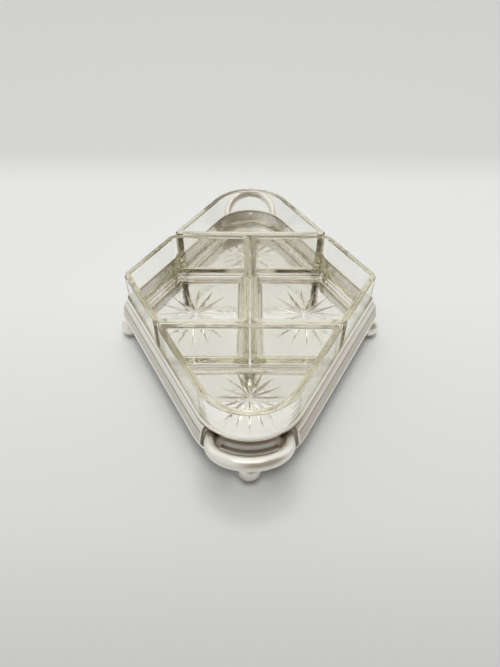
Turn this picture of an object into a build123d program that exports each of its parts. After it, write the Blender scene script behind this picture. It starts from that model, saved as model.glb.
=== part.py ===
from build123d import *

import os
from math import acos, asin, cos, degrees, radians, sin, tan

# Sectioned serving stand: a lozenge-shaped plated tray on ball feet with two loop handles,
# and four thick glass dishes that lift out of it.
# Millimetres, +Z up. The origin is on the table under the middle of the tray.
# +Y runs along the long diagonal, from the front handle to the back handle.

# Plan of the glass, which the tray follows at a distance
glass_half_width = 100.0
side_angle = 30.0
glass_nose_radius = 38.5
divider_y = 55.4
dish_gap = 0.8

# Glass dishes
dish_height = 45.4
dish_wall = 4.75
dish_base = 5.0
hollow_corner = 5.6
floor_fillet = 4.4
lip_share = 0.25
corner_cut = 2.6
end_corner_cut = 5.0
inner_corner_radius = 6.5

# Star cut into the underside of each dish, placed and sized as shares of the dish's depth
ray_count = 16
ray_start = 1.2
ray_waist = 12.5
ray_width = 3.4
ray_depth = 2.0
middle_star_place = 0.453
end_star_place = 0.402
star_share = 0.33

# Tray plate, wall and rim
foot_height = 18.0
plate_thickness = 1.6
plate_out = 6.6
dish_clearance = 0.5
wall_thickness = 0.9
wall_height = 20.0
bead_height = 2.2
bead_width = 1.9
tray_corner_radius = 4.0
edge_share = 0.45

# Mouldings soldered to the outside of the wall
solder_gap = 0.1
border_drop = 3.2
border_roll_height = 5.6
border_roll_out = 2.6
border_setback = 0.7
border_reeds = 5
roll_bulge = 1.0
reed_bulge = 0.6
stop_wrap = 2.0
stop_proud = 0.3
stop_clearance = 0.9
nose_moulding_height = 7.4
nose_moulding_top = 0.9
nose_moulding_depth = 2.6
nose_moulding_reeds = 3
moulding_clearance = 2.6

# Handles
handle_half_width = 25.0
handle_leg = 9.7
handle_rise = 28.0
handle_root_back = 7.5
handle_root_up = 12.4
handle_root_diameter = 7.2
handle_diameter = 8.8
handle_buried = 14.0

# Feet
ball_diameter = 17.2
foot_flat = 0.3
neck_diameter = 8.0
end_foot_out = 2.5
side_foot_out = 2.5

# Levels and plan points that follow from the sizes above
slope = radians(side_angle)
plate_top = foot_height + plate_thickness
wall_top = plate_top + wall_height
wall_out = dish_clearance + wall_thickness
mount_face = wall_out + solder_gap
nose_centre_y = (glass_half_width / tan(slope)) - glass_nose_radius / sin(slope)
nose_apex_y = nose_centre_y + glass_nose_radius
side_length = glass_half_width / sin(slope) - glass_nose_radius / tan(slope)
mount_radius = glass_nose_radius + mount_face
stop_end_x = handle_half_width + handle_root_diameter / 2 + stop_clearance
border_wrap = degrees(acos(stop_end_x / mount_radius)) - side_angle - stop_wrap
moulding_end_x = handle_half_width - handle_root_diameter / 2 - moulding_clearance
nose_moulding_span = degrees(asin(moulding_end_x / mount_radius))

os.makedirs("parts", exist_ok=True)


def vertex_reach(out):
    """Distance from the middle to the side vertex of an outline that lies out from the glass."""
    return glass_half_width + out / cos(slope)


def lozenge(out):
    """Tray outline at a distance out from the glass, with rounded noses and side corners."""
    reach = vertex_reach(out)
    with BuildSketch() as outline:
        Polygon((reach, 0), (0, reach / tan(slope)), (-reach, 0), (0, -reach / tan(slope)), align=None)
        by_length = outline.vertices().sort_by(Axis.Y)
        fillet([by_length[0], by_length[-1]], glass_nose_radius + out)
        by_width = outline.vertices().sort_by(Axis.X)
        fillet([by_width[0], by_width[-1]], tray_corner_radius + out)
    return outline.sketch


def end_dish_plan(inset):
    """Front dish: a straight back, two slanting sides and a rounded nose."""
    back_y = divider_y + dish_gap / 2 + inset
    reach = vertex_reach(-inset)
    back_x = reach - back_y * tan(slope)
    with BuildSketch() as outline:
        Polygon((back_x, -back_y), (-back_x, -back_y), (0, -reach / tan(slope)), align=None)
        fillet(outline.vertices().sort_by(Axis.Y)[0], glass_nose_radius - inset)
    return outline.sketch


def middle_dish_plan(inset):
    """Right dish: a straight inner wall, two straight ends and two slanting outer sides."""
    inner_x = dish_gap / 2 + inset
    end_y = divider_y - dish_gap / 2 - inset
    reach = vertex_reach(-inset)
    end_x = reach - end_y * tan(slope)
    corners = [(inner_x, -end_y), (end_x, -end_y), (reach, 0), (end_x, end_y), (inner_x, end_y)]
    with BuildSketch() as outline:
        Polygon(*corners, align=None)
    return outline.sketch


def star_cutter(centre_x, centre_y, radius):
    """Ring of long four-sided wedges, deepest at their waists, that cut a star's rays."""
    with BuildPart() as star:
        for turn in range(ray_count):
            ray_plane = Plane((centre_x, centre_y, plate_top)).rotated((0, 0, 360 * turn / ray_count))
            with BuildSketch(ray_plane) as ray:
                half = ray_width / 2
                Polygon((ray_start, 0), (ray_waist, -half), (radius, 0), (ray_waist, half), align=None)
            peak = ray_plane.from_local_coords(Vector(ray_waist, 0, ray_depth))
            loft([ray.sketch.face(), Vertex(peak)])
    return star.part


def hollow_dish(outside, hollow, star):
    """Solid glass of an outside plan, hollowed to its base, rounded and cut with its star."""
    hollow_floor = plate_top + dish_base
    dish_top = plate_top + dish_height
    with BuildPart() as dish:
        with BuildSketch(Plane.XY.offset(plate_top)):
            add(outside)
        extrude(amount=dish_height)
        with BuildSketch(Plane.XY.offset(hollow_floor)):
            add(hollow)
        extrude(amount=dish_height - dish_base, mode=Mode.SUBTRACT)
        fillet(dish.edges().filter_by_position(Axis.Z, hollow_floor, hollow_floor), floor_fillet)
        fillet(dish.edges().filter_by_position(Axis.Z, dish_top, dish_top), lip_share * dish_wall)
        add(star, mode=Mode.SUBTRACT)
    return dish.part


def nose_section(angle):
    """Upright plane through the front nose's axis, angle round from +X; its x is out from the glass."""
    turn = radians(angle)
    outward = Vector(cos(turn), -sin(turn), 0)
    onward = Vector(-sin(turn), -cos(turn), 0)
    return Plane(Vector(0, -nose_centre_y, 0) + outward * glass_nose_radius, x_dir=outward, z_dir=onward)


def reed_ends(start, finish, count):
    """Pairs of end points that cut the run from start to finish into equal reeds."""
    step = (Vector(finish) - Vector(start)) / count
    return [(Vector(start) + step * i, Vector(start) + step * (i + 1)) for i in range(count)]


def save(piece, name):
    """Label a finished piece and write it to its own file."""
    piece.label = name
    export_step(piece, "parts/" + name + ".step")


def save_mirrored(piece, about, name):
    """Write the mirror image of a finished piece as a piece of its own."""
    with BuildPart() as image:
        mirror(piece, about=about)
    save(image.part, name)


def save_quarters(piece, name):
    """Write a front right piece and its images in the other three quarters of the plan."""
    save(piece, name + "_front_right")
    save_mirrored(piece, Plane.YZ, name + "_front_left")
    save_mirrored(piece, Plane.XZ, name + "_back_right")
    with BuildPart() as left_image:
        mirror(piece, about=Plane.YZ)
    save_mirrored(left_image.part, Plane.XZ, name + "_back_left")


# Tray floor
with BuildPart() as tray_floor:
    with BuildSketch(Plane.XY.offset(foot_height)):
        add(lozenge(plate_out))
    extrude(amount=plate_thickness)
    fillet(tray_floor.edges(), edge_share * plate_thickness)
save(tray_floor.part, "tray_floor")

# Gallery wall
with BuildPart() as gallery_wall:
    with BuildSketch(Plane.XY.offset(plate_top)):
        add(lozenge(wall_out))
        add(lozenge(dish_clearance), mode=Mode.SUBTRACT)
    extrude(amount=wall_height)
save(gallery_wall.part, "gallery_wall")

# Rim bead
with BuildPart() as rim_bead:
    with BuildSketch(Plane.XY.offset(wall_top)):
        add(lozenge(dish_clearance + bead_width))
        add(lozenge(dish_clearance), mode=Mode.SUBTRACT)
    extrude(amount=bead_height)
    fillet(rim_bead.edges(), edge_share * min(bead_width, bead_height))
save(rim_bead.part, "rim_bead")

# Reeded borders
border_top = wall_top - border_drop
roll_foot = (mount_face + border_roll_out, border_top - border_roll_height)
border_foot = (plate_out - border_setback, plate_top)
nose_axis = Axis((0, -nose_centre_y, 0), (0, 0, -1))
with BuildPart() as border:
    with BuildSketch(nose_section(side_angle)) as border_section:
        with BuildLine():
            Line(border_foot, (mount_face, plate_top))
            Line((mount_face, plate_top), (mount_face, border_top))
            SagittaArc((mount_face, border_top), roll_foot, roll_bulge)
            for reed_start, reed_finish in reed_ends(roll_foot, border_foot, border_reeds):
                SagittaArc(reed_start, reed_finish, reed_bulge)
        make_face()
    extrude(amount=-side_length - 2 * plate_out)
    split(bisect_by=Plane.XZ, keep=Keep.TOP)
    revolve(border_section.sketch, axis=nose_axis, revolution_arc=border_wrap)
save_quarters(border.part, "border")

# Plates that stop the borders beside the handle roots
stop_roll_foot = (roll_foot[0] + stop_proud, roll_foot[1])
stop_foot = (border_foot[0] + stop_proud, plate_top)
with BuildPart() as border_stop:
    with BuildSketch(nose_section(side_angle + border_wrap)):
        with BuildLine():
            Line(stop_foot, (mount_face, plate_top))
            Line((mount_face, plate_top), (mount_face, border_top + stop_proud))
            SagittaArc((mount_face, border_top + stop_proud), stop_roll_foot, roll_bulge)
            SagittaArc(stop_roll_foot, stop_foot, reed_bulge)
        make_face()
    revolve(axis=nose_axis, revolution_arc=stop_wrap)
save_quarters(border_stop.part, "border_stop")

# Low reeded mouldings round the noses, under the handles
moulding_top = plate_top + nose_moulding_height
moulding_shoulder = (mount_face + nose_moulding_top, moulding_top)
moulding_foot = (mount_face + nose_moulding_depth, plate_top)
with BuildPart() as nose_moulding:
    with BuildSketch(nose_section(90 - nose_moulding_span)):
        with BuildLine():
            Polyline(moulding_foot, (mount_face, plate_top), (mount_face, moulding_top), moulding_shoulder)
            for reed_start, reed_finish in reed_ends(moulding_shoulder, moulding_foot, nose_moulding_reeds):
                SagittaArc(reed_start, reed_finish, reed_bulge)
        make_face()
    revolve(axis=nose_axis, revolution_arc=2 * nose_moulding_span)
save(nose_moulding.part, "nose_moulding_front")
save_mirrored(nose_moulding.part, Plane.XZ, "nose_moulding_back")

# Loop handles, thicker in the middle, rising from the nose and trimmed to the wall
rise = radians(handle_rise)
handle_plane = Plane(
    (0, handle_root_back - nose_apex_y, plate_top + handle_root_up),
    x_dir=(1, 0, 0),
    z_dir=(0, -sin(rise), -cos(rise)),
)
with BuildPart() as handle:
    with BuildLine(handle_plane) as loop:
        Line((-handle_half_width, -handle_buried), (-handle_half_width, handle_leg))
        ThreePointArc(
            (-handle_half_width, handle_leg),
            (0, handle_leg + handle_half_width),
            (handle_half_width, handle_leg),
        )
        Line((handle_half_width, handle_leg), (handle_half_width, -handle_buried))
    for share, diameter in ((0, handle_root_diameter), (0.5, handle_diameter), (1, handle_root_diameter)):
        with BuildSketch(Plane(loop.line @ share, z_dir=loop.line % share)):
            Circle(diameter / 2)
    sweep(path=loop.line, multisection=True)
    with BuildSketch():
        add(lozenge(mount_face))
    extrude(amount=2 * wall_top, mode=Mode.SUBTRACT)
save(handle.part, "handle_front")
save_mirrored(handle.part, Plane.XZ, "handle_back")

# Ball feet with a short neck under the plate
ball_centre = ball_diameter / 2 - foot_flat
end_foot_y = nose_apex_y + end_foot_out
side_foot_x = glass_half_width + side_foot_out
foot_places = {
    "foot_front": (0, -end_foot_y),
    "foot_back": (0, end_foot_y),
    "foot_left": (-side_foot_x, 0),
    "foot_right": (side_foot_x, 0),
}
for name, (foot_x, foot_y) in foot_places.items():
    with BuildPart() as foot:
        with BuildSketch(Plane((foot_x, foot_y, 0), x_dir=(1, 0, 0), z_dir=(0, -1, 0))):
            with Locations((0, ball_centre)):
                Circle(ball_diameter / 2)
            with Locations((0, foot_height)):
                Rectangle(neck_diameter, foot_height - ball_centre, align=(Align.CENTER, Align.MAX))
            Rectangle(ball_diameter, foot_height, align=(Align.MIN, Align.MIN), mode=Mode.INTERSECT)
        revolve(axis=Axis((foot_x, foot_y, 0), (0, 0, 1)))
    save(foot.part, name)

# End dishes
with BuildSketch() as end_outside:
    add(end_dish_plan(0))
    chamfer(end_outside.vertices().group_by(Axis.Y)[-1], end_corner_cut)
with BuildSketch() as end_hollow:
    add(end_dish_plan(dish_wall))
    fillet(end_hollow.vertices().group_by(Axis.Y)[-1], hollow_corner)
end_dish_back = divider_y + dish_gap / 2
end_dish_depth = nose_apex_y - end_dish_back
end_star_y = end_dish_back + end_star_place * end_dish_depth
end_star = star_cutter(0, -end_star_y, star_share * end_dish_depth)
end_dish = hollow_dish(end_outside.sketch, end_hollow.sketch, end_star)
save(end_dish, "dish_front")
save_mirrored(end_dish, Plane.XZ, "dish_back")

# Middle dishes
with BuildSketch() as middle_outside:
    add(middle_dish_plan(0))
    inner_corners = middle_outside.vertices().group_by(Axis.X)[0]
    outer_corners = middle_outside.vertices() - inner_corners
    chamfer(outer_corners, corner_cut)
    fillet(middle_outside.vertices().group_by(Axis.X)[0], inner_corner_radius)
with BuildSketch() as middle_hollow:
    add(middle_dish_plan(dish_wall))
    fillet(middle_hollow.vertices(), hollow_corner)
middle_dish_depth = glass_half_width - dish_gap / 2
middle_star_x = dish_gap / 2 + middle_star_place * middle_dish_depth
middle_star = star_cutter(middle_star_x, 0, star_share * middle_dish_depth)
middle_dish = hollow_dish(middle_outside.sketch, middle_hollow.sketch, middle_star)
save(middle_dish, "dish_right")
save_mirrored(middle_dish, Plane.YZ, "dish_left")
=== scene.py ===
# %% [markdown]
# A plated serving stand with four lift-out glass dishes.
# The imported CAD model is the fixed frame: every piece below is built in metres where the CAD says it is,
# and then rides on the CAD body that carries it. The metal is one body, the stand, and each dish is its own.

# %% Load the frame
import math

import bmesh
import bpy
from mathutils import Matrix, Vector


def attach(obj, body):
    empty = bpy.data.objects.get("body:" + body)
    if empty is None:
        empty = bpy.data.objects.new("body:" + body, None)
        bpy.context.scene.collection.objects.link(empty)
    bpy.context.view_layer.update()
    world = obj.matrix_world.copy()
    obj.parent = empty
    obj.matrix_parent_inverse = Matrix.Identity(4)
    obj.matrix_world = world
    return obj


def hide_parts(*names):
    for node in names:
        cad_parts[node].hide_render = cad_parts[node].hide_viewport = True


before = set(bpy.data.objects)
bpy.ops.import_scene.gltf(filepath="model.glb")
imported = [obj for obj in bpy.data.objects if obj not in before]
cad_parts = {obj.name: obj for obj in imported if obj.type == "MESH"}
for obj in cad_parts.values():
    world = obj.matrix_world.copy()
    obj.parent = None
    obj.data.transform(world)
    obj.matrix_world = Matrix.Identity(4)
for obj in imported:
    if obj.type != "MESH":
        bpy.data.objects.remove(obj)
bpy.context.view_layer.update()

scene = bpy.context.scene

# %% [markdown]
# The camera looks down the long diagonal at about 45 degrees, as a phone held over a table does. Its place
# was fitted to the corners of the glass, the rims and the feet in the photograph.
# Yaw, pitch and roll are turned in that order, so that each can be read as a photographer would say it.

# %% Camera
CAMERA_PLACE = (-0.0003, -0.3111, 0.3107)
CAMERA_YAW = -0.07
CAMERA_PITCH = 45.04
CAMERA_ROLL = 0.28
FOCAL_PIXELS = 500
PHOTO_HEIGHT = 667
SENSOR = 36.0

camera_data = bpy.data.cameras.new("table_camera")
camera_data.sensor_width = SENSOR
camera_data.lens = FOCAL_PIXELS * SENSOR / PHOTO_HEIGHT
camera_data.clip_start = 0.01
camera = bpy.data.objects.new("table_camera", camera_data)
scene.collection.objects.link(camera)
yaw = Matrix.Rotation(math.radians(CAMERA_YAW), 4, "Z")
tilt = Matrix.Rotation(math.radians(90 - CAMERA_PITCH), 4, "X")
roll = Matrix.Rotation(math.radians(CAMERA_ROLL), 4, "Z")
camera.matrix_world = Matrix.Translation(CAMERA_PLACE) @ yaw @ tilt @ roll
scene.camera = camera
scene.view_settings.view_transform = "Standard"
print("lens in mm:", round(camera_data.lens, 2))

# %% [markdown]
# Everything on this object follows one plan: a lozenge with wide rounded noses. The sizes are those of the
# CAD, in metres. Heights are measured from the table, and "out" is measured outwards from the glass.

# %% Sizes that the pieces share
MM = 0.001
SIDE_ANGLE = 30
SIDE_SLOPE = math.radians(SIDE_ANGLE)
GLASS_HALF_WIDTH = 100 * MM
NOSE_RADIUS = 38.5 * MM
TRAY_CORNER_RADIUS = 4 * MM
FOOT_HEIGHT = 18 * MM
PLATE_THICKNESS = 1.6 * MM
PLATE_TOP = FOOT_HEIGHT + PLATE_THICKNESS
PLATE_OUT = 6.6 * MM
WALL_HEIGHT = 20 * MM
WALL_TOP = PLATE_TOP + WALL_HEIGHT
WALL_THICKNESS = 0.9 * MM
DISH_CLEARANCE = 0.5 * MM
WALL_OUT = DISH_CLEARANCE + WALL_THICKNESS
SOLDER_GAP = 0.1 * MM
MOUNT_FACE = WALL_OUT + SOLDER_GAP
NOSE_CENTRE_Y = GLASS_HALF_WIDTH / math.tan(SIDE_SLOPE) - NOSE_RADIUS / math.sin(SIDE_SLOPE)
NOSE_APEX_Y = NOSE_CENTRE_Y + NOSE_RADIUS
print("glass nose apex in mm:", round(NOSE_APEX_Y / MM, 2))

# %% [markdown]
# A flat outline is a list of corners, each with a rounding radius. Moving every side inwards by the same
# amount and shrinking the radii with it gives the next ring of a dish or a plate, so the rings always have
# matching points. A guard point close to each end of an arc keeps the long flat walls flat when they are
# shaded smooth, which matters on glass and on mirror-bright metal.

# %% Outlines
GUARD = 0.25 * MM
LEAST_RADIUS = 0.2 * MM
SIDE_STEPS = 12
NOSE_STEPS = 48


def corner(x, y, radius, steps):
    """One corner of a plan: where it is, how round it is and how many chords draw it."""
    return {"at": Vector((x, y)), "radius": radius, "steps": steps}


def ring_points(plan, inset, guard=GUARD):
    """Points of a counter-clockwise plan whose sides have all moved inwards by inset."""
    count = len(plan)
    moved = []
    for i, spot in enumerate(plan):
        a = (spot["at"] - plan[i - 1]["at"]).normalized()
        b = (plan[(i + 1) % count]["at"] - spot["at"]).normalized()
        na = Vector((-a.y, a.x))
        nb = Vector((-b.y, b.x))
        moved.append((spot["at"] + (na + nb) * (inset / (1 + na.dot(nb))), a, b, na))
    points = []
    for spot, (here, a, b, na) in zip(plan, moved):
        radius = max(spot["radius"] - inset, LEAST_RADIUS)
        turn = math.acos(max(-1.0, min(1.0, a.dot(b))))
        start = here - a * (radius * math.tan(turn / 2))
        centre = start + na * radius
        spoke = start - centre
        arc = []
        for step in range(spot["steps"] + 1):
            angle = turn * step / spot["steps"]
            c, s = math.cos(angle), math.sin(angle)
            arc.append(centre + Vector((spoke.x * c - spoke.y * s, spoke.x * s + spoke.y * c)))
        points += [arc[0] - a * guard] + arc + [arc[-1] + b * guard]
    return points


def tray_plan(out):
    """The tray's lozenge at a distance out from the glass."""
    reach = GLASS_HALF_WIDTH + out / math.cos(SIDE_SLOPE)
    length = reach / math.tan(SIDE_SLOPE)
    side = TRAY_CORNER_RADIUS + out
    nose = NOSE_RADIUS + out
    return [
        corner(reach, 0, side, SIDE_STEPS),
        corner(0, length, nose, NOSE_STEPS),
        corner(-reach, 0, side, SIDE_STEPS),
        corner(0, -length, nose, NOSE_STEPS),
    ]


outline = ring_points(tray_plan(0), 0)
print("points in a tray ring:", len(outline))

# %% [markdown]
# Rings with matching points can be skinned with quads, as a boat is planked over its frames. Modifiers could
# do some of it, but a few lines of bmesh keep every ring where its size puts it. An edge that bends sharply
# stays sharp, and everything else is shaded smooth.

# %% Skins
SHARP_ANGLE = 25


def add_ring(mesh, points, height):
    """New vertices of a ring at one height."""
    return [mesh.verts.new((p.x, p.y, height)) for p in points]


def skin(mesh, rings):
    """Quads between each ring and the next."""
    for low, high in zip(rings, rings[1:]):
        for i in range(len(low)):
            mesh.faces.new((low[i - 1], low[i], high[i], high[i - 1]))


def stack(mesh, rings):
    """A closed solid from a stack of rings, with a flat cap at each end."""
    skin(mesh, rings)
    mesh.faces.new(reversed(rings[0]))
    mesh.faces.new(rings[-1])


def quarter_round(radius, steps):
    """A rounded edge as pairs that run from (radius, 0) to (0, radius)."""
    angles = [0.5 * math.pi * i / steps for i in range(steps + 1)]
    return [(radius * (1 - math.sin(a)), radius * (1 - math.cos(a))) for a in angles]


def finish_mesh(mesh, name, sharp_angle=SHARP_ANGLE):
    """A linked object from a bmesh, faces outwards, smooth except across sharp edges."""
    bmesh.ops.recalc_face_normals(mesh, faces=mesh.faces)
    data = bpy.data.meshes.new(name)
    mesh.to_mesh(data)
    mesh.free()
    data.polygons.foreach_set("use_smooth", [True] * len(data.polygons))
    data.set_sharp_from_angle(angle=math.radians(sharp_angle))
    piece = bpy.data.objects.new(name, data)
    scene.collection.objects.link(piece)
    return piece


print("edges sharper than", SHARP_ANGLE, "degrees stay sharp")

# %% [markdown]
# Two finishes cover the whole object, silver plate and clear glass. Both get the same marks of handling, soft
# clouds and fine hairline scratches. They could be drawn in each material, but as one shader node group they
# are built once and take their own sizes in each. Nodes could be added and linked one by one, but helpers
# that add a node, do a sum or fit a value to a range keep a tree readable.

# %% Marks group
def feed(tree, socket, value):
    """Link a socket to another one, or set it to a plain value."""
    if isinstance(value, bpy.types.NodeSocket):
        tree.links.new(value, socket)
    else:
        socket.default_value = value


def add_node(tree, kind, inputs=None, **settings):
    """A node with its settings, and its inputs set to values or linked to sockets."""
    made = tree.nodes.new(kind)
    for key, value in settings.items():
        setattr(made, key, value)
    for name, value in (inputs or {}).items():
        feed(tree, made.inputs[name], value)
    return made


def math_node(tree, operation, first, second):
    """The result of one sum on two values or sockets."""
    made = add_node(tree, "ShaderNodeMath", operation=operation)
    for socket, value in zip(made.inputs, (first, second)):
        feed(tree, socket, value)
    return made.outputs[0]


def map_range(tree, value, low, high, **settings):
    """How far a value has come from low to high, from 0 to 1."""
    inputs = {"Value": value, "From Min": low, "From Max": high}
    return add_node(tree, "ShaderNodeMapRange", inputs, **settings).outputs[0]


marks = bpy.data.node_groups.new("handling_marks", "ShaderNodeTree")
for way, labels in {"INPUT": ("Cloud Size", "Scratch Size"), "OUTPUT": ("Clouds", "Scratches")}.items():
    for label in labels:
        marks.interface.new_socket(label, in_out=way, socket_type="NodeSocketFloat")
marks_in = marks.nodes.new("NodeGroupInput")
print("marks group sockets:", len(marks.interface.items_tree))

# %% [markdown]
# Clouds are broad noise with its middle tones spread out, and hairlines are the peaks of fine noise drawn out
# along a slant. Painted pictures could do it too, but noise needs no unwrapping.

# %% Clouds and hairlines
CLOUD_RANGE = (0.35, 0.7)
SCRATCH_RANGE = (0.60, 0.72)
SCRATCH_SLANT = (0.4, 0.3, 0.9)
SCRATCH_STRETCH = (1.0, 0.06, 1.0)
place = add_node(marks, "ShaderNodeTexCoord").outputs["Object"]
cloud_scale = math_node(marks, "DIVIDE", 1.0, marks_in.outputs["Cloud Size"])
clouds = add_node(
    marks, "ShaderNodeTexNoise", {"Vector": place, "Scale": cloud_scale, "Detail": 4.0, "Roughness": 0.6}
)
soft_clouds = map_range(marks, clouds.outputs[0], *CLOUD_RANGE)
slant = add_node(
    marks, "ShaderNodeMapping", {"Vector": place, "Rotation": SCRATCH_SLANT, "Scale": SCRATCH_STRETCH}
)
scratch_scale = math_node(marks, "DIVIDE", 1.0, marks_in.outputs["Scratch Size"])
hairlines = add_node(
    marks,
    "ShaderNodeTexNoise",
    {"Vector": slant.outputs[0], "Scale": scratch_scale, "Detail": 2.0, "Roughness": 0.5},
)
thin_lines = map_range(marks, hairlines.outputs[0], *SCRATCH_RANGE)
add_node(marks, "NodeGroupOutput", {"Clouds": soft_clouds, "Scratches": thin_lines})
print("marks group nodes:", len(marks.nodes))

# %% [markdown]
# Silver plate is a thin bright coat over brass or nickel silver. It could be one plain mirror, but old plate
# is never that even: hands and polishing cloths leave it a little wavy, and tarnish stays where a cloth can't
# reach. So a mark on each point blends the coat towards brown: real tarnish in the reeds' grooves, painted
# shade under the rim, at the wall's foot and round the handle roots, and a darker tone on the nose strips.
# The clouds and hairlines of the marks group drive the roughness and a very shallow bump. There are two
# coats: a warm satin where hands and cloths have rubbed, and a bright mirror on the base and the wall, where
# they seldom come.

# %% Silver plate
SATIN_SILVER = (0.86, 0.842, 0.785, 1)
SATIN_DULLNESS = 0.28
BRIGHT_SILVER = (0.855, 0.849, 0.838, 1)
BRIGHT_DULLNESS = 0.05
TARNISH_AND_PAINTED_SHADE = (0.22, 0.165, 0.11, 1)
HAZE = 0.05
STAIN_AND_SHADE_DULLING = 0.25
CLOUD_DULLING = 0.06
SCRATCH_DEPTH = 0.12


def colour_mix(tree, share, first, second):
    """A blend of two colours by a share of the second."""
    made = add_node(tree, "ShaderNodeMix", {"Factor": share}, data_type="RGBA")
    for socket, value in zip([s for s in made.inputs if s.type == "RGBA"], (first, second)):
        feed(tree, socket, value)
    return next(socket for socket in made.outputs if socket.type == "RGBA")


def plated(name, coat, dullness):
    """Silver plate, browned by tarnish in grooves and by painted shade, from the clean plate's colour and
    roughness.
    """
    material = bpy.data.materials.new(name)
    material.use_nodes = True
    tree = material.node_tree
    shader = tree.nodes["Principled BSDF"]
    shader.inputs["Metallic"].default_value = 1.0
    mark_sizes = {"Cloud Size": 30 * MM, "Scratch Size": 1.2 * MM}
    worn = add_node(tree, "ShaderNodeGroup", mark_sizes, node_tree=marks)
    cloudy, scratched = worn.outputs["Clouds"], worn.outputs["Scratches"]
    groove = add_node(tree, "ShaderNodeAttribute", attribute_name="groove").outputs["Fac"]
    haze = math_node(tree, "MULTIPLY", cloudy, HAZE)
    # The stain share is real tarnish in grooves and painted shade under the rim, at the wall's foot and round
    # the handle roots.
    stain = math_node(tree, "MAXIMUM", groove, haze)
    tree.links.new(colour_mix(tree, stain, coat, TARNISH_AND_PAINTED_SHADE), shader.inputs["Base Color"])
    rough = math_node(tree, "ADD", math_node(tree, "MULTIPLY", stain, STAIN_AND_SHADE_DULLING), dullness)
    rough = math_node(tree, "ADD", rough, math_node(tree, "MULTIPLY", cloudy, CLOUD_DULLING))
    tree.links.new(rough, shader.inputs["Roughness"])
    uneven = math_node(tree, "ADD", cloudy, math_node(tree, "MULTIPLY", scratched, -SCRATCH_DEPTH))
    relief = add_node(tree, "ShaderNodeBump", {"Height": uneven, "Strength": 0.25, "Distance": 0.6 * MM})
    tree.links.new(relief.outputs[0], shader.inputs["Normal"])
    print(name, "nodes:", len(tree.nodes))
    return material


silver = plated("silver_plate", SATIN_SILVER, SATIN_DULLNESS)
bright_silver = plated("silver_plate_inside", BRIGHT_SILVER, BRIGHT_DULLNESS)

# %% [markdown]
# Pressed glass is poured into a mould and pushed into shape, so its faces are never quite flat. A faint bump,
# drawn out along the length of the stand, stands in for the flow of the glass. The colour could be set on the
# surface, but then thick and thin glass would look the same, so a volume absorbs it instead.

# %% Clear glass
GLASS_SURFACE = (0.995, 0.997, 0.99, 1)
GLASS_TINT = (0.68, 0.61, 0.15, 1)
TINT_DENSITY = 5.4
SMEAR_DULLNESS = 0.02
FLOW_STRETCH = (0.4, 0.06, 1.0)
FLOW_SCALE = 330.0
glass = bpy.data.materials.new("clear_glass")
glass.use_nodes = True
tree = glass.node_tree
glass_shader = tree.nodes["Principled BSDF"]
glass_shader.inputs["Base Color"].default_value = GLASS_SURFACE
glass_shader.inputs["Transmission Weight"].default_value = 1.0
glass_shader.inputs["IOR"].default_value = 1.5
mark_sizes = {"Cloud Size": 18 * MM, "Scratch Size": 2.5 * MM}
smears = add_node(tree, "ShaderNodeGroup", mark_sizes, node_tree=marks)
film = math_node(tree, "MULTIPLY", smears.outputs["Clouds"], SMEAR_DULLNESS)
tree.links.new(film, glass_shader.inputs["Roughness"])
place = add_node(tree, "ShaderNodeTexCoord").outputs["Object"]
drawn_out = add_node(tree, "ShaderNodeMapping", {"Vector": place, "Scale": FLOW_STRETCH})
flow = add_node(
    tree, "ShaderNodeTexNoise", {"Vector": drawn_out.outputs[0], "Scale": FLOW_SCALE, "Detail": 2.0}
)
ripple = add_node(tree, "ShaderNodeBump", {"Height": flow.outputs[0], "Strength": 0.15, "Distance": 0.4 * MM})
tree.links.new(ripple.outputs[0], glass_shader.inputs["Normal"])
soak = add_node(tree, "ShaderNodeVolumeAbsorption", {"Color": GLASS_TINT, "Density": TINT_DENSITY})
tree.links.new(soak.outputs[0], tree.nodes["Material Output"].inputs["Volume"])
print("glass nodes:", len(tree.nodes))

# %% [markdown]
# The base is one flat sheet with its edge rolled round. It could be a slab with a Bevel modifier, but rings
# give exact control of the edge: quarter circles out and up, then in, with a flat cap on each side. Every
# finished piece is dressed in one call, which gives it its material, its body and the CAD nodes that it
# stands for.

# %% Tray floor
EDGE_ROUND = 0.45 * PLATE_THICKNESS
EDGE_STEPS = 5


def dress(piece, body, slot, material, *nodes):
    """Give a piece its finish, its body and the CAD nodes that it stands for."""
    piece.data.materials.clear()
    piece.data.materials.append(material)
    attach(piece, body)
    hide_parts(*nodes)
    print(piece.name, "faces:", len(piece.data.polygons), "stands for", len(nodes), "node(s)")


levels = [(EDGE_ROUND + GUARD, FOOT_HEIGHT)]
levels += [(inset, FOOT_HEIGHT + rise) for inset, rise in quarter_round(EDGE_ROUND, EDGE_STEPS)]
levels += [(inset, PLATE_TOP - drop) for drop, inset in quarter_round(EDGE_ROUND, EDGE_STEPS)]
levels.append((EDGE_ROUND + GUARD, PLATE_TOP))
plate = bmesh.new()
stack(plate, [add_ring(plate, ring_points(tray_plan(PLATE_OUT), inset), z) for inset, z in levels])
tray_floor = finish_mesh(plate, "base_plate")
dress(tray_floor, "stand", "silver_plate", bright_silver, "tray_floor")

# %% [markdown]
# Mouldings follow the tray's outline, and so does the wall, so one Geometry Nodes tree sweeps a section along
# a path for all of them. It has named inputs, as every tree here has, and ends in one plain mesh. Curve to
# Mesh lays a section's Y axis downwards on a counter-clockwise path, so sections are stored upside down.

# %% Sweep tree
def new_geometry_tree(name, sockets):
    """An empty Geometry Nodes tree with named inputs and a material, and its input node."""
    tree = bpy.data.node_groups.new(name, "GeometryNodeTree")
    tree.interface.new_socket("Geometry", in_out="OUTPUT", socket_type="NodeSocketGeometry")
    for label, kind in {**sockets, "Material": "Material"}.items():
        tree.interface.new_socket(label, in_out="INPUT", socket_type="NodeSocket" + kind)
    return tree, tree.nodes.new("NodeGroupInput")


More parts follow.
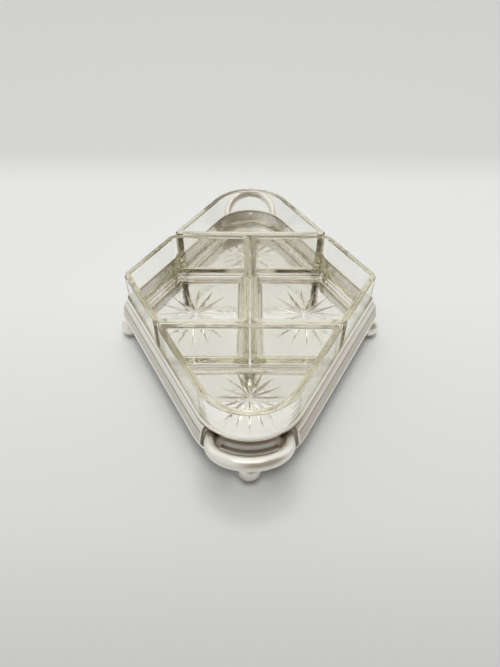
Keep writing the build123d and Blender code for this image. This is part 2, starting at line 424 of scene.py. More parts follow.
def close_tree(tree, geometry, inputs):
    """Realize Instances and Set Material end every tree, so that a plain mesh comes out."""
    real = add_node(tree, "GeometryNodeRealizeInstances", {"Geometry": geometry})
    coat = {"Geometry": real.outputs[0], "Material": inputs.outputs["Material"]}
    coated = add_node(tree, "GeometryNodeSetMaterial", coat)
    add_node(tree, "NodeGroupOutput", {"Geometry": coated.outputs[0]})
    print(tree.name, "nodes:", len(tree.nodes))


sweep_tree, sweep_in = new_geometry_tree("section_along_path", {"Path": "Object", "Section": "Object"})
path_info = add_node(sweep_tree, "GeometryNodeObjectInfo", {"Object": sweep_in.outputs["Path"]})
path_curve = add_node(sweep_tree, "GeometryNodeMeshToCurve", {"Mesh": path_info.outputs["Geometry"]})
upright = add_node(sweep_tree, "GeometryNodeSetCurveNormal", {"Curve": path_curve.outputs[0]}, mode="Z_UP")
section_info = add_node(sweep_tree, "GeometryNodeObjectInfo", {"Object": sweep_in.outputs["Section"]})
section_curve = add_node(sweep_tree, "GeometryNodeMeshToCurve", {"Mesh": section_info.outputs["Geometry"]})
swept = add_node(
    sweep_tree,
    "GeometryNodeCurveToMesh",
    {"Curve": upright.outputs[0], "Profile Curve": section_curve.outputs[0], "Fill Caps": True},
)
close_tree(sweep_tree, swept.outputs[0], sweep_in)

# %% [markdown]
# A path or a section is a chain of edges, which a tree reads as a curve. The path runs round the glass, and a
# section is drawn as (distance out, height), with a value at each point that travels along the sweep and
# browns the finish, for tarnish in grooves and for painted shade. Both are scaffolding and are removed after
# the sweep. The result is taken off its carrier as a mesh of its own, so that no modifier is left when a
# piece joins the frame.

# %% Sweeps
def line_object(name, points, closed, stains_and_shade=None):
    """A chain of edges that a tree reads as a curve."""
    data = bpy.data.meshes.new(name)
    edges = [(i, i + 1) for i in range(len(points) - 1)]
    if closed:
        edges.append((len(points) - 1, 0))
    data.from_pydata(points, edges, [])
    if stains_and_shade:
        mark = data.attributes.new("groove", "FLOAT", "POINT")
        mark.data.foreach_set("value", stains_and_shade)
    line = bpy.data.objects.new(name, data)
    scene.collection.objects.link(line)
    return line


def take_result(carrier):
    """What an object's modifiers make, as a bmesh. The object is removed."""
    graph = bpy.context.evaluated_depsgraph_get()
    data = bpy.data.meshes.new_from_object(carrier.evaluated_get(graph), depsgraph=graph)
    bpy.data.objects.remove(carrier)
    mesh = bmesh.new()
    mesh.from_mesh(data)
    bpy.data.meshes.remove(data)
    return mesh


def grow(tree, name, values):
    """Run a tree with its named inputs and hand back the result as a bmesh."""
    carrier = bpy.data.objects.new(name, bpy.data.meshes.new(name))
    scene.collection.objects.link(carrier)
    modifier = carrier.modifiers.new("grow", "NODES")
    modifier.node_group = tree
    for item in tree.interface.items_tree:
        if item.in_out == "INPUT" and item.name in values:
            modifier[item.identifier] = values[item.name]
    return take_result(carrier)


def sweep(name, path, path_closed, section, stains_and_shade=None):
    """Sweep a closed section along a path. Both are removed afterwards."""
    path_line = line_object(name + "_path", [(p.x, p.y, 0) for p in path], path_closed)
    section_line = line_object(name + "_section", [(p[0], -p[1], 0) for p in section], True, stains_and_shade)
    mesh = grow(sweep_tree, name, {"Path": path_line, "Section": section_line})
    for line in (path_line, section_line):
        data = line.data
        bpy.data.objects.remove(line)
        bpy.data.meshes.remove(data)
    return mesh


print("once round in mm:", round(sum((b - a).length for a, b in zip(outline[-1:] + outline, outline)) / MM))

# %% [markdown]
# A strip of sheet metal stands on the base, bent round the dishes so that they can't slide. Its section is
# the same all round, so it is a sweep of a closed path. Its outside is darkened with painted shade under the
# rim, at its foot and most of all at the handle roots.

# %% Gallery wall
RIM_SHADE = 4 * MM
RIM_FADE = 7 * MM
ROOT_PAINTED_SHADE = (9 * MM, 21 * MM)
PAST_ROOT = (25 * MM, 29 * MM)
PAST_ROOT_SHADE_EASING = 0.75


def share_of_way(value, start, finish):
    """How far a value has come from start to finish, from 0 to 1."""
    return min(1.0, max(0.0, (value - start) / (finish - start)))


wall_section = [(DISH_CLEARANCE, PLATE_TOP), (WALL_OUT, PLATE_TOP)]
wall_section += [(WALL_OUT, WALL_TOP - RIM_FADE), (WALL_OUT, WALL_TOP - RIM_SHADE)]
wall_section += [(WALL_OUT, WALL_TOP), (DISH_CLEARANCE, WALL_TOP)]
# Painted shade on the outside: darkest under the rim, dark at the foot, none on the inside.
wall_painted_shade = [0.0, 0.7, 0.4, 1.0, 1.0, 0.0]
wall_mesh = sweep("gallery", outline, True, wall_section, wall_painted_shade)
groove = wall_mesh.verts.layers.float["groove"]
mid_wall = NOSE_RADIUS + (DISH_CLEARANCE + WALL_OUT) / 2
# Painted shade round the handle roots, eased off below the rim beyond them.
for vert in wall_mesh.verts:
    aside = abs(vert.co.x)
    along = abs(vert.co.y) - NOSE_CENTRE_Y
    if along > 0 and math.hypot(aside, along) > mid_wall:
        vert[groove] = max(vert[groove], share_of_way(aside, *ROOT_PAINTED_SHADE))
        if vert.co.z < WALL_TOP - RIM_SHADE - GUARD:
            vert[groove] *= 1 - PAST_ROOT_SHADE_EASING * share_of_way(aside, *PAST_ROOT)
wall = finish_mesh(wall_mesh, "gallery")
dress(wall, "stand", "silver_plate", bright_silver, "gallery_wall")

# %% [markdown]
# A rounded wire is soldered along the wall's top edge to stiffen it and to look neat. The wire could be a
# bevelled curve, but the same sweep as the wall's keeps the two exactly together.

# %% Rim bead
BEAD_WIDTH = 1.9 * MM
BEAD_HEIGHT = 2.2 * MM
BEAD_ROUND = 0.45 * BEAD_WIDTH
BEAD_STEPS = 6
BEAD_GUARD = 0.02 * MM
bead_out = DISH_CLEARANCE + BEAD_WIDTH
bead_top = WALL_TOP + BEAD_HEIGHT
bead_corners = [(DISH_CLEARANCE, WALL_TOP), (bead_out, WALL_TOP)]
bead_corners += [(bead_out, bead_top), (DISH_CLEARANCE, bead_top)]
bead_plan = [corner(out, height, BEAD_ROUND, BEAD_STEPS) for out, height in bead_corners]
bead_section = ring_points(bead_plan, 0, BEAD_GUARD)
bead = finish_mesh(sweep("rim_roll", outline, True, bead_section), "rim_roll")
dress(bead, "stand", "silver_plate", silver, "rim_bead")

# %% [markdown]
# The borders are lengths of drawn moulding: a broad roll at the top and a row of narrow reeds below it. The
# section could be traced as one curve, but a run of small equal arcs is what the drawing die cuts. The
# grooves between the reeds carry the tarnish mark, which fades out towards their crests.

# %% Reeded section
BORDER_DROP = 3.2 * MM
BORDER_TOP = WALL_TOP - BORDER_DROP
ROLL_FOOT = (MOUNT_FACE + 2.6 * MM, BORDER_TOP - 5.6 * MM)
ROLL_BULGE = 1.0 * MM
ROLL_STEPS = 10
BORDER_SET_BACK = 0.7 * MM
BORDER_FOOT = (PLATE_OUT - BORDER_SET_BACK, PLATE_TOP)
REEDS = 5
REED_BULGE = 0.6 * MM
REED_STEPS = 8
GROOVE_FADE = (1.0, 0.85, 0.2)
BACK_STAIN = 0.6
# Painted shade: the border's top, tucked under the rim against the wall, is darkened.
TOP_PAINTED_SHADE = 0.8
ROLL_STAIN = 0.08
CREST_STAIN = 0.02
VALLEY_STAIN = 1.0


def bulged(start, finish, bulge, steps):
    """Points of a flat arc from start to finish that bulges to the left by a given amount."""
    start, finish = Vector(start), Vector(finish)
    chord = finish - start
    half = chord.length / 2
    radius = (half * half + bulge * bulge) / (2 * bulge)
    left = Vector((-chord.y, chord.x)).normalized()
    centre = (start + finish) / 2 - left * (radius - bulge)
    spread = math.asin(half / radius)
    points = []
    for i in range(steps + 1):
        angle = spread * (1 - 2 * i / steps)
        along = chord.normalized() * (-math.sin(angle) * radius)
        points.append(tuple(centre + along + left * (math.cos(angle) * radius)))
    return points


def reed_run(start, finish, count, crest, valley):
    """Points of a row of small bulges, and the stain at each, from their crests to their valleys."""
    points, stains = [], []
    start, finish = Vector(start), Vector(finish)
    fade = [crest + share * (valley - crest) for share in GROOVE_FADE]
    for i in range(count):
        a = start.lerp(finish, i / count)
        b = start.lerp(finish, (i + 1) / count)
        points += bulged(a, b, REED_BULGE, REED_STEPS)[:-1]
        stains += fade + [crest] * (REED_STEPS + 1 - 2 * len(fade)) + fade[:0:-1]
    return points, stains


border_roll = bulged((MOUNT_FACE, BORDER_TOP), ROLL_FOOT, ROLL_BULGE, ROLL_STEPS)[:-1]
reeds, reed_stains = reed_run(ROLL_FOOT, BORDER_FOOT, REEDS, CREST_STAIN, VALLEY_STAIN)
border_section = [(MOUNT_FACE, PLATE_TOP), BORDER_FOOT] + reeds[::-1] + border_roll[::-1]
border_stains_and_shade = [BACK_STAIN] * 2 + reed_stains[::-1]
border_stains_and_shade += [ROLL_STAIN] * (len(border_roll) - 1) + [TOP_PAINTED_SHADE]
print("points in the border's section:", len(border_section))

# %% [markdown]
# The borders run along the straight sides and a little way round each nose, up to a handle root. The front
# right one is swept past the side corner and cut off in the plane of symmetry, as a mitre saw would cut it,
# and the other three are its mirror images.

# %% Reeded borders
HANDLE_HALF_WIDTH = 25 * MM
HANDLE_ROOT_RADIUS = 3.6 * MM
ROOT_CLEARANCE = 0.9 * MM
STOP_ANGLE = 2.0
BORDER_SHARP_ANGLE = 20
BORDER_RUN = 172 * MM
RUN_STEPS = 14
END_STEPS = 6
MOUNT_RADIUS = NOSE_RADIUS + MOUNT_FACE
root_outside = HANDLE_HALF_WIDTH + HANDLE_ROOT_RADIUS + ROOT_CLEARANCE
BORDER_END = math.degrees(math.acos(root_outside / MOUNT_RADIUS)) - STOP_ANGLE
QUARTERS = {"front_right": (1, 1), "front_left": (-1, 1), "back_right": (1, -1), "back_left": (-1, -1)}


def nose_arc(first, last, steps):
    """Points round the front nose of the glass, by angle from +X towards the front handle, in degrees."""
    points = []
    for i in range(steps + 1):
        angle = math.radians(first + (last - first) * i / steps)
        points.append(Vector((NOSE_RADIUS * math.cos(angle), -NOSE_CENTRE_Y - NOSE_RADIUS * math.sin(angle))))
    return points


def border_path():
    """From past the right side corner, along the front right side and a little way round the nose."""
    arc = nose_arc(SIDE_ANGLE, BORDER_END, END_STEPS)
    along = Vector((math.sin(SIDE_SLOPE), math.cos(SIDE_SLOPE)))
    straight = [arc[0] + along * (BORDER_RUN * i / RUN_STEPS) for i in range(RUN_STEPS, 0, -1)]
    straight.append(arc[0] + along * GUARD)
    return (straight + arc)[::-1]


def mirrored(mesh, sx, sy):
    """A copy of a front right piece in another quarter."""
    image = mesh.copy()
    bmesh.ops.scale(image, vec=(sx, sy, 1), verts=image.verts)
    return image


border = sweep("border", border_path(), False, border_section, border_stains_and_shade)
bmesh.ops.bisect_plane(
    border,
    geom=border.verts[:] + border.edges[:] + border.faces[:],
    plane_co=(0, 0, 0),
    plane_no=(0, 1, 0),
    clear_outer=True,
)
bmesh.ops.holes_fill(border, edges=[e for e in border.edges if e.is_boundary])
for quarter, (sx, sy) in QUARTERS.items():
    piece = finish_mesh(mirrored(border, sx, sy), "reeded_border_" + quarter, BORDER_SHARP_ANGLE)
    dress(piece, "stand", "silver_plate", silver, "border_" + quarter)

# %% [markdown]
# A small plate closes the open end of each border beside a handle root. It has the border's outline without
# the reeds and stands a little proud, so it is a short sweep of a simpler section.

# %% Border stops
STOP_PROUD = 0.3 * MM
STOP_FACE_STEPS = 5
STOP_ROLL_STEPS = 8
STOP_PATH_STEPS = 3
stop_roll_foot = (ROLL_FOOT[0] + STOP_PROUD, ROLL_FOOT[1])
stop_foot = (BORDER_FOOT[0] + STOP_PROUD, PLATE_TOP)
stop_top = (MOUNT_FACE, BORDER_TOP + STOP_PROUD)
stop_section = [(MOUNT_FACE, PLATE_TOP)]
stop_section += bulged(stop_roll_foot, stop_foot, REED_BULGE, STOP_FACE_STEPS)[::-1]
stop_section += bulged(stop_top, stop_roll_foot, ROLL_BULGE, STOP_ROLL_STEPS)[-2::-1]
stop_path = nose_arc(BORDER_END, BORDER_END + STOP_ANGLE, STOP_PATH_STEPS)[::-1]
stop = sweep("stop", stop_path, False, stop_section)
for quarter, (sx, sy) in QUARTERS.items():
    piece = finish_mesh(mirrored(stop, sx, sy), "stop_plate_" + quarter, BORDER_SHARP_ANGLE)
    dress(piece, "stand", "silver_plate", silver, "border_stop_" + quarter)

# %% [markdown]
# Between the roots of a handle a lower reeded strip hides the joint of wall and base. It is made as the
# borders are, round the nose only, and it is darker and duller all over than the borders, most at its top.

# %% Nose mouldings
NOSE_MIDDLE = 90
STRIP_CLEARANCE = 2.6 * MM
STRIP_HEIGHT = 7.4 * MM
STRIP_TOP_OUT = MOUNT_FACE + 0.9 * MM
STRIP_FOOT_OUT = MOUNT_FACE + 2.6 * MM
STRIP_REEDS = 3
STRIP_STEPS = 24
# The strip is darker all over than the borders, and darker still at its top against the wall.
STRIP_CREST_DARKNESS = 0.35
STRIP_VALLEY_STAIN = 0.8
STRIP_TOP_DARKNESS = 0.5
root_inside = HANDLE_HALF_WIDTH - HANDLE_ROOT_RADIUS - STRIP_CLEARANCE
strip_span = math.degrees(math.asin(root_inside / MOUNT_RADIUS))
strip_top = PLATE_TOP + STRIP_HEIGHT
strip_foot = (STRIP_FOOT_OUT, PLATE_TOP)
strip_reeds, strip_darkness = reed_run(
    (STRIP_TOP_OUT, strip_top), strip_foot, STRIP_REEDS, STRIP_CREST_DARKNESS, STRIP_VALLEY_STAIN
)
strip_section = [(MOUNT_FACE, PLATE_TOP), strip_foot] + strip_reeds[::-1] + [(MOUNT_FACE, strip_top)]
strip_darkness = [BACK_STAIN] * 2 + strip_darkness[::-1] + [STRIP_TOP_DARKNESS]
strip_path = nose_arc(NOSE_MIDDLE - strip_span, NOSE_MIDDLE + strip_span, STRIP_STEPS)[::-1]
strip = sweep("nose_strip", strip_path, False, strip_section, strip_darkness)
for end, sy in (("front", 1), ("back", -1)):
    piece = finish_mesh(mirrored(strip, 1, sy), "nose_strip_" + end, BORDER_SHARP_ANGLE)
    dress(piece, "stand", "silver_plate", silver, "nose_moulding_" + end)

# %% [markdown]
# Each handle is a thick rod bent into a loop, a little thicker in the middle than at its roots. A
# quadrilateral with its last side left open and its far corners rounded as far as they go is exactly such a
# loop, so the tree draws that, swells it along its length and sweeps a circle. Its roots get painted shade.

# %% Handle tree
ROOT_SHADE = (0.62, 0.8)
BEND_POINTS = 24
LOOP_POINTS = 97
ROD_SIDES = 40
handle_inputs = ("Half Width", "Leg", "Buried", "Root Radius", "Swell")
handle_tree, handle_in = new_geometry_tree("loop_handle", {label: "Float" for label in handle_inputs})
half = handle_in.outputs["Half Width"]
left_x = math_node(handle_tree, "MULTIPLY", half, -1.0)
far_y = math_node(handle_tree, "ADD", handle_in.outputs["Leg"], half)
near_y = math_node(handle_tree, "MULTIPLY", handle_in.outputs["Buried"], -1.0)
loop_corners = {}
for i, (x, y) in enumerate(((left_x, near_y), (left_x, far_y), (half, far_y), (half, near_y)), 1):
    spot = add_node(handle_tree, "ShaderNodeCombineXYZ", {"X": x, "Y": y})
    loop_corners["Point " + str(i)] = spot.outputs[0]
open_box = add_node(handle_tree, "GeometryNodeCurvePrimitiveQuadrilateral", loop_corners, mode="POINTS")
loop = add_node(
    handle_tree, "GeometryNodeSetSplineCyclic", {"Geometry": open_box.outputs[0], "Cyclic": False}
)
bent = add_node(
    handle_tree,
    "GeometryNodeFilletCurve",
    {"Curve": loop.outputs[0], "Radius": half, "Count": BEND_POINTS, "Limit Radius": True},
    mode="POLY",
)
even = add_node(handle_tree, "GeometryNodeResampleCurve", {"Curve": bent.outputs[0], "Count": LOOP_POINTS})
share = add_node(handle_tree, "GeometryNodeSplineParameter").outputs["Factor"]
middle = math_node(handle_tree, "SUBTRACT", math_node(handle_tree, "MULTIPLY", share, 2.0), 1.0)
fullness = math_node(handle_tree, "SUBTRACT", 1.0, math_node(handle_tree, "MULTIPLY", middle, middle))
swell = math_node(handle_tree, "MULTIPLY", handle_in.outputs["Swell"], fullness)
thickness = math_node(handle_tree, "ADD", handle_in.outputs["Root Radius"], swell)
from_middle = math_node(handle_tree, "ABSOLUTE", middle, 0.0)
# Painted shade: the mark grows from the middle of the loop to its roots.
root_shade = map_range(handle_tree, from_middle, *ROOT_SHADE)
root_shaded = add_node(
    handle_tree,
    "GeometryNodeStoreNamedAttribute",
    {"Geometry": even.outputs[0], "Name": "groove", "Value": root_shade},
    data_type="FLOAT",
    domain="POINT",
)
rod = add_node(handle_tree, "GeometryNodeCurvePrimitiveCircle", {"Resolution": ROD_SIDES, "Radius": 1.0})
round_rod = add_node(
    handle_tree,
    "GeometryNodeCurveToMesh",
    {"Curve": root_shaded.outputs[0], "Profile Curve": rod.outputs[0], "Scale": thickness, "Fill Caps": True},
)
close_tree(handle_tree, round_rod.outputs[0], handle_in)

# %% [markdown]
# A handle leans outwards and upwards from the nose. Its roots are soldered flat against the curved wall, so
# the loop is first let into the wall and then trimmed with a block of the tray's own outline, as a file would
# fit it. A Boolean modifier does the trimming.

# %% Loop handles
HANDLE_RISE = math.radians(28)
HANDLE_SET_BACK = 7.5 * MM
HANDLE_LIFT = 12.4 * MM
ROUND_SHARP_ANGLE = 35
HANDLE_SIZES = {
    "Half Width": HANDLE_HALF_WIDTH,
    "Leg": 9.7 * MM,
    "Buried": 14 * MM,
    "Root Radius": HANDLE_ROOT_RADIUS,
    "Swell": 0.8 * MM,
}
block = bmesh.new()
stack(block, [add_ring(block, ring_points(tray_plan(MOUNT_FACE), 0), z) for z in (0.0, 2 * WALL_TOP)])
trim_block = finish_mesh(block, "trim_block")
lean = Matrix(
    (
        (1, 0, 0, 0),
        (0, -math.cos(HANDLE_RISE), -math.sin(HANDLE_RISE), HANDLE_SET_BACK - NOSE_APEX_Y),
        (0, math.sin(HANDLE_RISE), -math.cos(HANDLE_RISE), PLATE_TOP + HANDLE_LIFT),
        (0, 0, 0, 1),
    )
)
for end, turn in (("front", 0), ("back", 180)):
    loop_mesh = grow(handle_tree, "loop_handle", HANDLE_SIZES)
    to_end = Matrix.Rotation(math.radians(turn), 4, "Z") @ lean
    bmesh.ops.transform(loop_mesh, matrix=to_end, verts=loop_mesh.verts)
    rough_loop = finish_mesh(loop_mesh, "handle_rough")
    cut = rough_loop.modifiers.new("trim", "BOOLEAN")
    cut.operation = "DIFFERENCE"
    cut.object = trim_block
    piece = finish_mesh(take_result(rough_loop), "loop_handle_" + end, ROUND_SHARP_ANGLE)
    dress(piece, "stand", "silver_plate", silver, "handle_" + end)
bpy.data.objects.remove(trim_block)

# %% [markdown]
# The ball feet are turned: a profile spun round an upright axis. A Screw modifier could spin it, but a stack
# of rings is as short and gives clean caps.

# %% One foot
BALL_RADIUS = 8.6 * MM
FOOT_FLAT = 0.3 * MM
NECK_RADIUS = 4.0 * MM
BALL_CENTRE = BALL_RADIUS - FOOT_FLAT
BALL_STEPS = 24
FOOT_STEPS = 48


def circle_ring(mesh, radius, height):
    """A ring of a turned piece."""
    angles = [2 * math.pi * i / FOOT_STEPS for i in range(FOOT_STEPS)]
    return add_ring(mesh, [Vector((radius * math.cos(a), radius * math.sin(a))) for a in angles], height)


low = math.asin(BALL_CENTRE / BALL_RADIUS)
high = math.acos(NECK_RADIUS / BALL_RADIUS)
profile = []
for i in range(BALL_STEPS + 1):
    angle = -low + (low + high) * i / BALL_STEPS
    profile.append((BALL_RADIUS * math.cos(angle), BALL_CENTRE + BALL_RADIUS * math.sin(angle)))
profile.append((NECK_RADIUS, FOOT_HEIGHT))
foot = bmesh.new()
stack(foot, [circle_ring(foot, radius, height) for radius, height in profile])
one_foot = finish_mesh(foot, "one_foot")
print("one foot's faces:", len(one_foot.data.polygons))

# %% [markdown]
# The four feet are all alike, so a small tree copies the one foot to the two ends and the two sides of the
# plate. Its inputs say how far from the middle the feet stand along and across it.

# %% Four feet
FOOT_OUT = 2.5 * MM
feet_tree, feet_in = new_geometry_tree(
    "feet_under_plate", {"Foot": "Object", "Long": "Float", "Wide": "Float"}
)
foot_info = add_node(feet_tree, "GeometryNodeObjectInfo", {"Object": feet_in.outputs["Foot"]})
all_feet = add_node(feet_tree, "GeometryNodeJoinGeometry")
for axis, reach in (("Y", "Long"), ("X", "Wide")):
    for sign in (-1.0, 1.0):
        distance = math_node(feet_tree, "MULTIPLY", feet_in.outputs[reach], sign)
        spot = add_node(feet_tree, "ShaderNodeCombineXYZ", {axis: distance})
        there = {"Geometry": foot_info.outputs["Geometry"], "Translation": spot.outputs[0]}
        moved = add_node(feet_tree, "GeometryNodeTransform", there)
        feet_tree.links.new(moved.outputs[0], all_feet.inputs[0])
close_tree(feet_tree, all_feet.outputs[0], feet_in)
feet_places = {"Foot": one_foot, "Long": NOSE_APEX_Y + FOOT_OUT, "Wide": GLASS_HALF_WIDTH + FOOT_OUT}
feet = finish_mesh(grow(feet_tree, "ball_feet", feet_places), "ball_feet", ROUND_SHARP_ANGLE)
bpy.data.objects.remove(one_foot)
dress(feet, "stand", "silver_plate", silver, "foot_front", "foot_back", "foot_left", "foot_right")

# %% [markdown]
# The star under each dish is cut with a wheel: sixteen long grooves that are deepest near the middle. One
# ray is drawn as a low pyramid, and a tree repeats it round a centre. The dish's underside is then filled
# between its edge and the rays, so that the star is really cut into the glass and bends the light.

# %% Star rays
RAY_COUNT = 16
RAY_START = 1.2 * MM
RAY_WAIST = 12.5 * MM
RAY_WIDTH = 3.4 * MM
RAY_DEPTH = 2.0 * MM
star_tree, star_in = new_geometry_tree("star_cut", {"Ray": "Object", "Ray Count": "Int", "Centre": "Vector"})
ray_info = add_node(star_tree, "GeometryNodeObjectInfo", {"Object": star_in.outputs["Ray"]})
hub = add_node(star_tree, "GeometryNodePoints", {"Count": star_in.outputs["Ray Count"]})
turn_step = math_node(star_tree, "DIVIDE", 2 * math.pi, star_in.outputs["Ray Count"])
which_ray = add_node(star_tree, "GeometryNodeInputIndex").outputs[0]
facing = add_node(
    star_tree, "ShaderNodeCombineXYZ", {"Z": math_node(star_tree, "MULTIPLY", which_ray, turn_step)}
)
ring_of_rays = add_node(
    star_tree,
    "GeometryNodeInstanceOnPoints",
    {"Points": hub.outputs[0], "Instance": ray_info.outputs["Geometry"], "Rotation": facing.outputs[0]},
)
there = {"Geometry": ring_of_rays.outputs[0], "Translation": star_in.outputs["Centre"]}
placed = add_node(star_tree, "GeometryNodeTransform", there)
close_tree(star_tree, placed.outputs[0], star_in)


def star_mesh(centre, radius):
    """All the rays of one star as a mesh of open pyramids."""
    half = RAY_WIDTH / 2
    points = [(RAY_START, 0, 0), (RAY_WAIST, -half, 0), (radius, 0, 0), (RAY_WAIST, half, 0)]
    points.append((RAY_WAIST, 0, RAY_DEPTH))
    data = bpy.data.meshes.new("ray")
    data.from_pydata(points, [], [(0, 1, 4), (1, 2, 4), (2, 3, 4), (3, 0, 4)])
    ray = bpy.data.objects.new("ray", data)
    scene.collection.objects.link(ray)
    mesh = grow(star_tree, "star", {"Ray": ray, "Ray Count": RAY_COUNT, "Centre": centre})
    bpy.data.objects.remove(ray)
    return mesh


# %% [markdown]
# Seen from above, an end dish is a triangle with a rounded nose, and a middle dish has five sides. The mould
# cuts their upright corners across, the sharp ones of the end dishes most. A thick post of glass there would
# look dark, because light runs round inside it, so these cuts and the hollows' tight corners matter.

# %% Plans of the dishes
DISH_WALL = 4.75 * MM
DISH_GAP = 0.8 * MM
DIVIDER_Y = 55.4 * MM
CORNER_CUT = 2.6 * MM
END_CORNER_CUT = 5.0 * MM
CUT_SOFTNESS = 0.5 * MM
CUT_STEPS = 3
ARC_STEPS = 2 * (CUT_STEPS + 1) + 1
HOLLOW_CORNER = 2.0 * MM
END_HOLLOW_CORNER = 1.0 * MM
INNER_CORNER = 6.5 * MM


def end_plan(inset):
    """Corners of the front dish's triangle at an inset from its outside."""
    reach = GLASS_HALF_WIDTH - inset / math.cos(SIDE_SLOPE)
    back_y = DIVIDER_Y + DISH_GAP / 2 + inset
    back_x = reach - back_y * math.tan(SIDE_SLOPE)
    return [Vector((back_x, -back_y)), Vector((-back_x, -back_y)), Vector((0, -reach / math.tan(SIDE_SLOPE)))]


def middle_plan(inset):
    """Corners of the right dish's five sides at an inset from its outside."""
    reach = GLASS_HALF_WIDTH - inset / math.cos(SIDE_SLOPE)
    inner_x = DISH_GAP / 2 + inset
    end_y = DIVIDER_Y - DISH_GAP / 2 - inset
    end_x = reach - end_y * math.tan(SIDE_SLOPE)
    places = ((inner_x, -end_y), (end_x, -end_y), (reach, 0), (end_x, end_y), (inner_x, end_y))
    return [Vector(place) for place in places]


def cut_all(points, keep, cut):
    """An outside plan: kept corners are rounded as given, and every other corner is cut across."""
    plan = []
    for i, here in enumerate(points):
        if i in keep:
            plan.append(corner(here.x, here.y, *keep[i]))
        else:
            for other in (points[i - 1], points[(i + 1) % len(points)]):
                end = here + (other - here).normalized() * cut
                plan.append(corner(end.x, end.y, CUT_SOFTNESS, CUT_STEPS))
    return plan


end_outside = cut_all(end_plan(0), {2: (NOSE_RADIUS, NOSE_STEPS)}, END_CORNER_CUT)
*end_backs, end_tip = end_plan(DISH_WALL)
end_hollow = [corner(p.x, p.y, END_HOLLOW_CORNER, ARC_STEPS) for p in end_backs]
end_hollow.append(corner(end_tip.x, end_tip.y, NOSE_RADIUS - DISH_WALL, NOSE_STEPS))
inner_corner = (INNER_CORNER, ARC_STEPS)
middle_outside = cut_all(middle_plan(0), {0: inner_corner, 4: inner_corner}, CORNER_CUT)
middle_hollow = [corner(p.x, p.y, HOLLOW_CORNER, ARC_STEPS) for p in middle_plan(DISH_WALL)]
print("ring points:", len(ring_points(end_outside, 0)), "and", len(ring_points(middle_outside, 0)))

# %% [markdown]
# A dish is a stack of rings: out from the foot, up the outside, over the fire-polished lip, down the inside
# and round the fillet to the floor. Pressed glass has no sharp edge anywhere, so the foot and the lip are
# rounded too. The underside is lifted a hair above the plate, as a real dish stands on its edge.

# %% Walls of a dish
DISH_HEIGHT = 45.4 * MM
DISH_BASE = 5.0 * MM
LIP = 0.25 * DISH_WALL
LIP_STEPS = 6
FILLET_STEPS = 8
STAND_OFF = 0.02 * MM
PANEL_UP = 0.15 * MM
PANEL_INSET = 2.6 * MM
FOOT_INSET = 1.6 * MM
FOOT_ROUND = 0.8 * MM
FOOT_ROUND_STEPS = 4
WELD = 0.0001 * MM
PANEL_HEIGHT = PLATE_TOP + PANEL_UP


def dish_mesh(outside, hollow, fillet, mesh):
    """A star's mesh built up to a closed glass dish, from the plans of its outside and its hollow."""
    top = PLATE_TOP + DISH_HEIGHT
    floor = PLATE_TOP + DISH_BASE
    foot = PLATE_TOP + STAND_OFF
    lip = quarter_round(LIP, LIP_STEPS)
    levels = [(outside, PANEL_INSET, PANEL_HEIGHT), (outside, FOOT_INSET, foot)]
    levels += [(outside, inset, foot + rise) for inset, rise in quarter_round(FOOT_ROUND, FOOT_ROUND_STEPS)]
    levels += [(outside, 0, foot + FOOT_ROUND + GUARD), (outside, 0, top - LIP - GUARD)]
    levels += [(outside, inset, top - drop) for drop, inset in lip]
    levels += [(outside, LIP + GUARD, top), (hollow, -LIP - GUARD, top)]
    levels += [(hollow, -inset, top - drop) for drop, inset in reversed(lip)]
    levels += [(hollow, 0, top - LIP - GUARD), (hollow, 0, floor + fillet + GUARD)]
    levels += [(hollow, inset, floor + rise) for rise, inset in quarter_round(fillet, FILLET_STEPS)]
    levels.append((hollow, fillet + GUARD, floor))
    rings = [add_ring(mesh, ring_points(plan, inset), z) for plan, inset, z in levels]
    skin(mesh, rings)
    mesh.faces.new(rings[-1])
    bmesh.ops.remove_doubles(mesh, verts=mesh.verts, dist=WELD)
    open_edges = [e for e in mesh.edges if e.is_boundary]
    bmesh.ops.triangle_fill(mesh, edges=open_edges, use_beauty=True, use_dissolve=False, normal=(0, 0, -1))
    return mesh


print("glass rim above the table in mm:", round((PLATE_TOP + DISH_HEIGHT) / MM, 1))

# %% [markdown]
# The front and the right dish are made and mirrored for the back and the left. Each is a body of its own, so
# that it lifts out of the stand. The middle dishes have the larger fillet round their floors, which shows as
# a broad band along the wall between them.

# %% Four dishes
MIDDLE_FILLET = 6.4 * MM
END_FILLET = 4.4 * MM
STAR_SHARE = 0.33
END_STAR_PLACE = 0.402
MIDDLE_STAR_PLACE = 0.453
end_back = DIVIDER_Y + DISH_GAP / 2
end_depth = NOSE_APEX_Y - end_back
end_star = (0, -(end_back + END_STAR_PLACE * end_depth), PANEL_HEIGHT)
middle_depth = GLASS_HALF_WIDTH - DISH_GAP / 2
middle_star = (DISH_GAP / 2 + MIDDLE_STAR_PLACE * middle_depth, 0, PANEL_HEIGHT)
star = star_mesh(end_star, STAR_SHARE * end_depth)
end_dish = dish_mesh(end_outside, end_hollow, END_FILLET, star)
for end, sy in (("front", 1), ("back", -1)):
    piece = finish_mesh(mirrored(end_dish, 1, sy), "end_dish_" + end)
    dress(piece, "dish_" + end, "clear_glass", glass, "dish_" + end)
star = star_mesh(middle_star, STAR_SHARE * middle_depth)
middle_dish = dish_mesh(middle_outside, middle_hollow, MIDDLE_FILLET, star)
for side, sx in (("right", 1), ("left", -1)):
    piece = finish_mesh(mirrored(middle_dish, sx, 1), "middle_dish_" + side)
    dress(piece, "dish_" + side, "clear_glass", glass, "dish_" + side)
